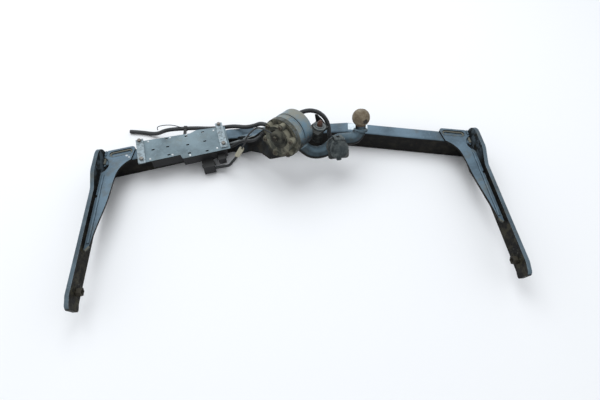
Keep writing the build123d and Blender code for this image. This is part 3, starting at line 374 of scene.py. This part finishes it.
def cast_mud(name, base, mud, cover=0.6):
    """A rough casting with dried mud, thickest where it faces up."""
    g = Graph(name)
    lumps = g.noise(45, 6, 0.65, 0.3)
    share = g.step(g.math("ADD", lumps, g.times(g.upward(), 0.22)), 0.48, 0.72, 0.0, cover)
    clean = g.mix(g.patches(18, 4, 0.55, 0.4, 0.65), scaled(base, 0.45), base)
    fine = g.noise(320, 4, 0.65)
    g.bump((lumps, 0.0015, 0.6), (fine, 0.0005, 0.5))
    return g.done(g.mix(share, clean, mud), g.step(fine, 0.2, 0.8, 0.7, 0.95), specular=0.2)


def paper(name):
    """Smeared white paper, with nothing printed on it."""
    g = Graph(name)
    colour = g.mix(g.patches(90, 6, 0.7, 0.50, 0.72, 0.55), (0.72, 0.80, 0.84), (0.30, 0.38, 0.42))
    return g.done(colour, 0.5, specular=0.4)


BOARD_GREEN = (0.01, 0.09, 0.03)

# The look of each material slot of the part
materials = {
    "painted_steel": worn_paint("steel"),
    "weld_bead": worn_paint("weld", mud=0.2, rust=0.4),
    "neck_paint": worn_paint("neck_paint", (0.082, 0.122, 0.148), mud=0.4, dust_and_light_range=(0.1, 0.85), marks=neck_marks),
    "cover_paint": worn_paint("cover_paint", (0.165, 0.218, 0.242), mud=0.15),
    "galvanised": bare_metal("zinc", (0.235, 0.290, 0.315), (0.13, 0.16, 0.17), rust=0.35, metallic=0.25),
    "cast_housing": cast_mud("casting", (0.088, 0.091, 0.074), (0.235, 0.222, 0.165), cover=0.75),
    "rusty_screw": bare_metal("rusty", (0.10, 0.045, 0.03), (0.05, 0.03, 0.025), rust=0.8, metallic=0.2),
    "guide_steel": cast_mud("guide", (0.06, 0.065, 0.065), (0.16, 0.16, 0.15), cover=0.5),
    "machined_steel": bare_metal("machined", rust=0.05),
    "bronze": bare_metal("bronze", (0.50, 0.32, 0.14), (0.20, 0.12, 0.05), rust=0.0),
    "contact_brass": bare_metal("brass", (0.60, 0.42, 0.16), (0.30, 0.20, 0.08), rust=0.0),
    "seal_rubber": rubber("seal"),
    "black_plastic": rubber("plastic", (0.007, 0.007, 0.008), (0.05, 0.05, 0.046), cover=0.3),
    "socket_plastic": cast_mud("socket", (0.046, 0.057, 0.061), (0.135, 0.150, 0.145)),
    "motor_can": bare_metal("can", rust=0.0),
    "board": rubber("board", BOARD_GREEN, BOARD_GREEN, cover=0.0),
    "cable_jacket": rubber("jacket", cover=0.3),
    "tag_plastic": rubber("tag", (0.35, 0.33, 0.25), (0.22, 0.20, 0.15), cover=0.5),
}

# The pieces that look otherwise than the rest of their slot
own_looks = {
    "hub_housing": worn_paint("drum_lit_and_shaded", (0.150, 0.232, 0.285), mud=0.4, dust_and_light_range=(-0.1, 0.6), marks=hub_mud),
    "gusset_left": worn_paint("scuffed_gusset", marks=gusset_scuffs),
    "flange_screws": cast_mud("muddy_screw", (0.070, 0.060, 0.048), (0.150, 0.135, 0.100)),
    "gearbox_cover": cast_mud("dome", (0.040, 0.041, 0.034), (0.120, 0.115, 0.088), cover=0.5),
    "cap_bolt": cast_mud("muddy_bolt", (0.045, 0.040, 0.032), (0.160, 0.150, 0.115), cover=0.5),
    "weld_nuts": cast_mud("muddy_nut", (0.030, 0.028, 0.024), (0.070, 0.062, 0.045)),
    "strap_bolts": bare_metal("strap_bolt", (0.20, 0.19, 0.17), (0.07, 0.06, 0.05), rust=0.6, metallic=0.3),
    "guide_lug": cast_mud("lug", (0.016, 0.017, 0.016), (0.085, 0.090, 0.085), cover=0.5),
    "hub_bracket": worn_paint("bracket", mud=0.6, rust=0.4, marks=bracket_mud),
    "side_plate_left": worn_paint("plate_left", PLATE_TOP, gloss=0.06, marks=plate_marks),
    "side_plate_right": worn_paint("plate_right", PLATE_TOP, gloss=0.06, marks=plate_marks),
    "cover_rivets": bare_metal("rivet", (0.62, 0.65, 0.66), (0.40, 0.42, 0.42), rust=0.0, metallic=0.25),
    "guide_washer": cast_mud("washer", (0.105, 0.130, 0.140), (0.250, 0.265, 0.255), cover=0.5),
}
weld_tan = cast_mud("weld_tan", (0.075, 0.085, 0.085), (0.200, 0.195, 0.155), cover=0.7)
pale_wire = rubber("pale_wire", (0.20, 0.22, 0.22), (0.32, 0.34, 0.33), cover=0.6)
grey_cable = rubber("grey_cable", (0.10, 0.11, 0.11), (0.26, 0.28, 0.28), cover=0.7)


def dress(piece, material):
    piece.data.materials.clear()
    piece.data.materials.append(material)


slot_of = {row["node"]: row["material_slot"] for row in frame["record"]["subparts"]}
for node, piece in nodes.items():
    dress(piece, own_looks.get(node, materials[slot_of[node]]))

# Small rounds on the plates, straps, castings and bolts, where faces meet at more than this angle in degrees:
# each piece's size in metres
EDGE_ANGLE = 38
EDGE_ROUNDS = {
    "side_plate_left": 0.0012, "side_plate_right": 0.0012, "gusset_left": 0.0009, "gusset_right": 0.0009,
    "hub_bracket": 0.0012, "hub_housing": 0.0012, "flange_cover": 0.0014, "gearbox_cover": 0.0012,
    "clamp_strap_inner": 0.0006, "clamp_strap_outer": 0.0006, "module_cover": 0.0004, "guide_washer": 0.0007,
    "guide_bolt": 0.0006, "cap_bolt": 0.0006, "guide_lug": 0.0009, "weld_nuts": 0.0007,
    "module_connector_large": 0.001, "module_connector_small": 0.001, "cable_tag": 0.0007,
}
for node, width in EDGE_ROUNDS.items():
    rounding = nodes[node].modifiers.new("edge_round", "BEVEL")
    rounding.width = width
    rounding.segments = 2
    rounding.limit_method = "ANGLE"
    rounding.angle_limit = math.radians(EDGE_ANGLE)
    rounding.use_clamp_overlap = True

# Cables: the radius and the route of each, in metres
CONDUIT_RADIUS = 0.0065
RIB_DEPTH = 0.0008
RIB_PITCH = 0.0032
LOOM_RADIUS = 0.006
HARNESS_RADIUS = 0.0045
SIGNAL_RADIUS = 0.004
WIRE_RADIUS = 0.0022
loom_points = [
    (-0.06302, -0.04948, 0.1392), (-0.07806, -0.03645, 0.13714), (-0.1, -0.022, 0.113), (-0.128, -0.002, 0.088),
    (-0.154, 0.017, 0.075), (-0.178, 0.032, 0.061), (-0.202, 0.038, 0.0515), (-0.24, 0.037, 0.0515),
    (-0.284, 0.035, 0.06), (-0.326, 0.035, 0.06),
]
tail_points = [
    (-0.326, 0.035, 0.06), (-0.352, 0.035, 0.06), (-0.38, 0.044, 0.046), (-0.404, 0.059, 0.021),
    (-0.43, 0.073, 0.0064), (-0.466, 0.083, 0.0064), (-0.5, 0.088, 0.0064),
]
harness_points = [
    (-0.1882, -0.0437, 0.05), (-0.1706, -0.03996, 0.05), (-0.15, -0.05, 0.076), (-0.129, -0.068, 0.103),
    (-0.112, -0.09, 0.124), (-0.0984, -0.10017, 0.13746), (-0.08392, -0.0841, 0.13345),
]
signal_points = [
    (-0.22432, -0.09023, 0.017), (-0.20867, -0.0869, 0.017), (-0.181, -0.101, 0.036), (-0.168, -0.106, 0.061),
    (-0.159, -0.108, 0.075), (-0.153, -0.108, 0.086),
]
wire_points = [
    (-0.13672, -0.108, 0.11585), (-0.1281, -0.108, 0.13165), (-0.118, -0.11, 0.163), (-0.103, -0.108, 0.182),
    (-0.086, -0.102, 0.19), (-0.05966, -0.10776, 0.17555), (-0.04926, -0.11713, 0.17555),
]
conduit_points = [
    (0.02208, -0.0381, 0.16278), (0.03195, -0.02714, 0.16005), (0.05651, -0.01966, 0.15997),
    (0.08139, -0.02106, 0.15354), (0.10113, -0.02794, 0.13763), (0.11182, -0.03883, 0.11607),
    (0.11345, -0.05011, 0.09372), (0.11694, -0.06077, 0.06991), (0.1292, -0.07053, 0.05899),
    (0.13821, -0.08542, 0.06089), (0.14058, -0.10488, 0.07087),
]


def route_curve(name, points, resolution):
    """The smooth curve that a cable takes by the points of its route."""
    curve = bpy.data.curves.new(name, "CURVE")
    curve.dimensions = "3D"
    spline = curve.splines.new("NURBS")
    spline.points.add(len(points) - 1)
    for target, point in zip(spline.points, points):
        target.co = (*point, 1)
    spline.order_u = 3
    spline.use_endpoint_u = True
    spline.resolution_u = resolution
    return curve


def cable_curve(name, points, radius, node):
    """A smooth round cable on the carrier, in place of its solid."""
    curve = route_curve(name, points, resolution=10)
    curve.bevel_depth = radius
    curve.bevel_resolution = 5
    curve.use_fill_caps = True
    curve.materials.append(materials["cable_jacket"])
    piece = bpy.data.objects.new(name, curve)
    bpy.context.scene.collection.objects.link(piece)
    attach(piece, "carrier")
    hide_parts(node)
    return piece


cable_curve("loom", loom_points, LOOM_RADIUS, "main_loom")
tail = cable_curve("loom_end", tail_points, LOOM_RADIUS, "loom_tail")
cable_curve("harness", harness_points, HARNESS_RADIUS, "motor_harness")
cable_curve("signal_lead", signal_points, SIGNAL_RADIUS, "signal_cable")
cable_curve("thin_wire", wire_points, WIRE_RADIUS, "signal_wire")


# Meshes

def mesh_piece(name, verts, faces, material, body, smooth=False):
    """A piece with its faces turned outward, riding on a body."""
    mesh = bpy.data.meshes.new(name)
    mesh.from_pydata([tuple(vert) for vert in verts], [], faces)
    shell = bmesh.new()
    shell.from_mesh(mesh)
    bmesh.ops.recalc_face_normals(shell, faces=shell.faces)
    shell.to_mesh(mesh)
    shell.free()
    if smooth:
        mesh.shade_smooth()
    piece = bpy.data.objects.new(name, mesh)
    bpy.context.scene.collection.objects.link(piece)
    dress(piece, material)
    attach(piece, body)
    return piece


def route_path(points):
    """The points along the smooth curve of a route."""
    holder = bpy.data.objects.new("route", route_curve("route", points, resolution=24))
    bpy.context.scene.collection.objects.link(holder)
    bpy.context.view_layer.update()
    wire = bpy.data.meshes.new_from_object(holder.evaluated_get(bpy.context.evaluated_depsgraph_get()))
    path = [vert.co.copy() for vert in wire.vertices]
    bpy.data.objects.remove(holder)
    return path


def resampled(path, spacing):
    """Points at an even spacing along a polyline, and that spacing."""
    gaps = [(b - a).length for a, b in zip(path, path[1:])]
    total = sum(gaps)
    count = max(2, round(total / spacing))
    places, walked, index = [], 0.0, 0
    for k in range(count + 1):
        target = total * k / count
        while index < len(gaps) - 1 and walked + gaps[index] < target:
            walked += gaps[index]
            index += 1
        share = (target - walked) / max(gaps[index], 1e-9)
        places.append(path[index].lerp(path[index + 1], min(1.0, max(0.0, share))))
    return places, total / count


def swept(name, path, body, spacing, radius_at, material, sides=10, closed=False):
    """A tube along a path, whose radius changes with the length and the turn. An open one has closed ends."""
    places, step = resampled(path, spacing)
    if closed:
        places = places[:-1]
    count = len(places)
    verts, faces = [], []
    side = None
    for k, place in enumerate(places):
        after = places[(k + 1) % count] if closed else places[min(k + 1, count - 1)]
        before = places[k - 1] if closed else places[max(k - 1, 0)]
        forward = (after - before).normalized()
        if side is None:
            side = forward.orthogonal().normalized()
        side = (side - forward * side.dot(forward)).normalized()
        other = forward.cross(side)
        for j in range(sides):
            turn = math.tau * j / sides
            verts.append(place + (side * math.cos(turn) + other * math.sin(turn)) * radius_at(k * step, turn))
    for k in range(count if closed else count - 1):
        a, b = k * sides, ((k + 1) % count) * sides
        for j in range(sides):
            faces.append((a + j, a + (j + 1) % sides, b + (j + 1) % sides, b + j))
    if not closed:
        faces.append(tuple(reversed(range(sides))))
        faces.append(tuple(range((count - 1) * sides, count * sides)))
    return mesh_piece(name, verts, faces, material, body, smooth=True)


def plain_tube(name, path, body, spacing, radius, material, closed=False):
    """A tube of one radius along a path."""
    return swept(name, path, body, spacing, lambda length, turn: radius, material, closed=closed)


def rib_radius(length, turn):
    """The radius of the conduit, which swells at each rib."""
    return CONDUIT_RADIUS - RIB_DEPTH * (0.5 + 0.5 * math.cos(length / RIB_PITCH * math.tau))


conduit = swept("conduit", route_path(conduit_points), "neck", RIB_PITCH / 6, rib_radius,
                materials["cable_jacket"], sides=14)
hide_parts("socket_conduit")

# Weld beads: how finely they are drawn, their ripples, and their lumps, as shares of the bead's size
BEAD_SPACING = 0.0011
RIPPLE_PITCH = 0.0042
RIPPLE = 0.10
LUMP = 0.22
LUMP_SCALE = 90


def weld(name, path, size, material=materials["weld_bead"], closed=False):
    """A lumpy weld bead, half sunk in the corner that it fills."""
    seed = random.uniform(0, 50)

    def bead_radius(length, turn):
        ripple = RIPPLE * math.sin(length / RIPPLE_PITCH * math.tau)
        lump = LUMP * noise.noise(Vector((length * LUMP_SCALE + seed, math.cos(turn), math.sin(turn))))
        return size * (1 + ripple + lump)

    bead = swept(name, [Vector(p) for p in path], "carrier", BEAD_SPACING, bead_radius, material, closed=closed)
    return bead


def oblong(x, y, z, length, width, angle):
    """A closed path round an oblong hole."""
    half, radius = (length - width) / 2, width / 2
    rim = []
    for end, start in ((1, -90), (-1, 90)):
        for k in range(13):
            turn = math.radians(start + k * 15)
            u, v = end * half + radius * math.cos(turn), radius * math.sin(turn)
            along, across = u * math.cos(angle) - v * math.sin(angle), u * math.sin(angle) + v * math.cos(angle)
            rim.append((x + along, y + across, z))
    rim.append(rim[0])
    return rim


# The gussets' holes and the places of the welds, in metres, for the right side
SLOT_X, SLOT_Y = 0.486, -0.057
SLOT_WELD_LENGTH, SLOT_WELD_WIDTH, SLOT_WELD_Z = 0.0600, 0.0150, 0.0670
SLOT_LIP_LENGTH, SLOT_LIP_WIDTH, SLOT_LIP_Z = 0.0662, 0.0212, 0.0710
GUSSET_WELD_Z = 0.0712
BEAM_WELD_Z = 0.0655
BEAM_END_X, BEAM_END_Y = 0.5285, -0.0953
HEAD_WELD_X = 0.5280
EDGE_WELD_X = 0.5225
tip_places = ((0.5195, -0.3596, 0.0688), (0.5222, -0.3658, 0.0688), (0.5275, -0.3702, 0.0688))

# The radii of the beads and of the lips round the holes
SLOT_BEAD, EAR_BEAD, TIP_BEAD = 0.0025, 0.0040, 0.0032
END_BEAD, HEAD_BEAD, EDGE_BEAD = 0.0038, 0.0032, 0.0034
LIP_RADIUS = 0.0010
LIP_SPACING = 0.002

for side, sign in (("left", -1), ("right", 1)):
    slot_angle = math.radians(-BEND_ANGLE * sign)
    slot_rim = oblong(sign * SLOT_X, SLOT_Y, SLOT_WELD_Z, SLOT_WELD_LENGTH, SLOT_WELD_WIDTH, slot_angle)
    weld(f"slot_weld_{side}", slot_rim, SLOT_BEAD, weld_tan, closed=True)
    lip_rim = oblong(sign * SLOT_X, SLOT_Y, SLOT_LIP_Z, SLOT_LIP_LENGTH, SLOT_LIP_WIDTH, slot_angle)
    lip = plain_tube(f"slot_lip_{side}", [Vector(p) for p in lip_rim], "carrier", LIP_SPACING, LIP_RADIUS,
                     materials["painted_steel"], closed=True)
    ear_path = [(sign * BEAM_END_X, y / 1000, BEAM_WELD_Z) for y in range(-94, -70, 4)]
    weld(f"ear_weld_{side}", ear_path, EAR_BEAD, weld_tan)
    weld(f"tip_weld_{side}", [(sign * x, y, z) for x, y, z in tip_places], TIP_BEAD, weld_tan)
    end_path = [(sign * BEAM_END_X, BEAM_END_Y, z / 1000) for z in range(64, 3, -6)]
    weld(f"end_weld_{side}", end_path, END_BEAD)
    head_path = [(sign * HEAD_WELD_X, y / 1000, GUSSET_WELD_Z) for y in range(-67, -49, 4)]
    weld(f"head_weld_{side}", head_path, HEAD_BEAD)
    edge_path = [(sign * EDGE_WELD_X, y / 1000, GUSSET_WELD_Z) for y in range(-136, -358, -6)]
    edge_weld = weld(f"edge_weld_{side}", edge_path, EDGE_BEAD)
    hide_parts(f"gusset_weld_{side}")

# Rolled rims round the hub's drum
RIM_STEPS = 96
RIM_SPACING = 0.0035


def drum_ring(name, along, radius, size, body, material):
    """A rim by its millimetres along the hub's axis, its radius in millimetres and its size in metres."""
    turns = [math.tau * k / RIM_STEPS for k in range(RIM_STEPS + 1)]
    path = [hub(radius * math.cos(turn), radius * math.sin(turn), along) for turn in turns]
    plain_tube(name, path, body, RIM_SPACING, size, material, closed=True)


drum_ring("rim_fixed_front", -33.5, 54.0, 0.0016, "carrier", own_looks["hub_housing"])
drum_ring("rim_fixed_rear", -4.5, 53.7, 0.0013, "carrier", own_looks["hub_housing"])
drum_ring("rim_head_front", 4.6, 53.7, 0.0013, "neck", materials["neck_paint"])

# The module's cover: hoods over its vent slots, by their millimetres along and in front of the left length
VENTS = ((79, (-25, 13, 52)), (129, (-22, 13, 46)), (186, (-28, 4, 36)), (228, (4,)))
HOOD_HALF_WIDTH = 4.2
HOOD_DEPTH = 4.5
HOOD_RISE = 1.5
HOOD_FOOT = 67.9
HOOD_SETBACK = 1.6


def louvre(name, along, ahead):
    """A hood pressed up over the rear of a vent slot."""
    rear = ahead - HOOD_SETBACK
    base = [(-1, 0), (1, 0), (1, 1), (-1, 1)]
    verts = [left(along + HOOD_HALF_WIDTH * x, rear - HOOD_DEPTH * y, HOOD_FOOT) for x, y in base]
    verts += [left(along + HOOD_HALF_WIDTH * x, rear, HOOD_FOOT + HOOD_RISE) for x in (-0.8, 0.8)]
    faces = [(3, 2, 1, 0), (0, 1, 5, 4), (1, 2, 5), (2, 3, 4, 5), (3, 0, 4)]
    mesh_piece(name, verts, faces, materials["cover_paint"], "carrier")


for column, (along, rows) in enumerate(VENTS):
    for row, ahead in enumerate(rows):
        louvre(f"louvre_{column}_{row}", along, ahead)

# A blank sticker on the beam
BEAM_TOP = 0.065
STICKER_THICKNESS = 0.0003
sticker_corners = ((0.177, -0.012), (0.235, -0.019), (0.239, 0.006), (0.180, 0.013))
sticker_verts = [(x, y, BEAM_TOP + rise) for rise in (0, STICKER_THICKNESS) for x, y in sticker_corners]
sticker_faces = [(3, 2, 1, 0), (4, 5, 6, 7), (0, 1, 5, 4), (1, 2, 6, 5), (2, 3, 7, 6), (3, 0, 4, 7)]
mesh_piece("blank_sticker", sticker_verts, sticker_faces, paper("paper"), "carrier")

# Thin cables between the module and the hub, and a loop over the loom: radius in metres, route in millimetres
THIN_CABLE_SPACING = 0.0025
thin_cables = (
    ("pale_wire_a", 0.0012, pale_wire, ((-131.9, -60, 101), (-115.6, -62, 123.5), (-99.4, -66, 141.1),
                                        (-90.1, -70, 152.6), (-55.4, -72, 157.3))),
    ("pale_wire_b", 0.0012, pale_wire, ((-127.8, -50, 89.8), (-112.7, -52, 102), (-86.7, -58, 111.5),
                                        (-74.2, -66, 117.4), (-57.6, -76, 119.3))),
    ("pale_wire_c", 0.0011, pale_wire, ((-91, -60, 137.3), (-72.5, -66, 143.6), (-55.8, -76, 132.1))),
    ("grey_lead", 0.0030, grey_cable, ((-186.6, -24, 44.9), (-159.1, -24, 52.6), (-139.4, -26, 62.7),
                                       (-131, -42, 76), (-127.8, -50, 89.8), (-131.9, -60, 101))),
    ("tie_loop", 0.0012, materials["cable_jacket"], ((-396, 39, 56), (-396, 35, 73), (-375, 38, 76),
                                                     (-349, 38, 75), (-327, 35, 68), (-318, 35, 61))),
)
for name, radius, material, route in thin_cables:
    path = route_path([tuple(part / 1000 for part in point) for point in route])
    plain_tube(name, path, "carrier", THIN_CABLE_SPACING, radius, material)

# Floor, world and light
FLOOR_HALF = 6
FLOOR_Z = -0.0005
floor_mesh = bpy.data.meshes.new("floor")
floor_corners = [(x * FLOOR_HALF, y * FLOOR_HALF, 0) for x, y in ((-1, -1), (1, -1), (1, 1), (-1, 1))]
floor_mesh.from_pydata(floor_corners, [], [(0, 1, 2, 3)])
floor = bpy.data.objects.new("floor", floor_mesh)
floor.location.z = FLOOR_Z
bpy.context.scene.collection.objects.link(floor)
dress(floor, Graph("floor").done((0.86, 0.86, 0.86), 0.9, specular=0.2))

world = bpy.data.worlds.new("studio")
world.use_nodes = True
background = world.node_tree.nodes["Background"]
background.inputs["Color"].default_value = (0.93, 0.96, 1.0, 1)
background.inputs["Strength"].default_value = 0.84
bpy.context.scene.world = world

LAMP_PLACE = Vector((-0.4, 1.0, 2.6))
LAMP_TARGET = Vector((0, -0.2, 0))
lamp_data = bpy.data.lights.new("sky", "AREA")
lamp_data.shape = "DISK"
lamp_data.size = 2.6
lamp_data.energy = 46
lamp_data.color = (0.92, 0.96, 1.0)
lamp = bpy.data.objects.new("sky", lamp_data)
lamp.location = LAMP_PLACE
lamp.rotation_euler = (LAMP_TARGET - LAMP_PLACE).to_track_quat("-Z", "Y").to_euler()
bpy.context.scene.collection.objects.link(lamp)
bpy.context.scene.view_settings.view_transform = "Standard"
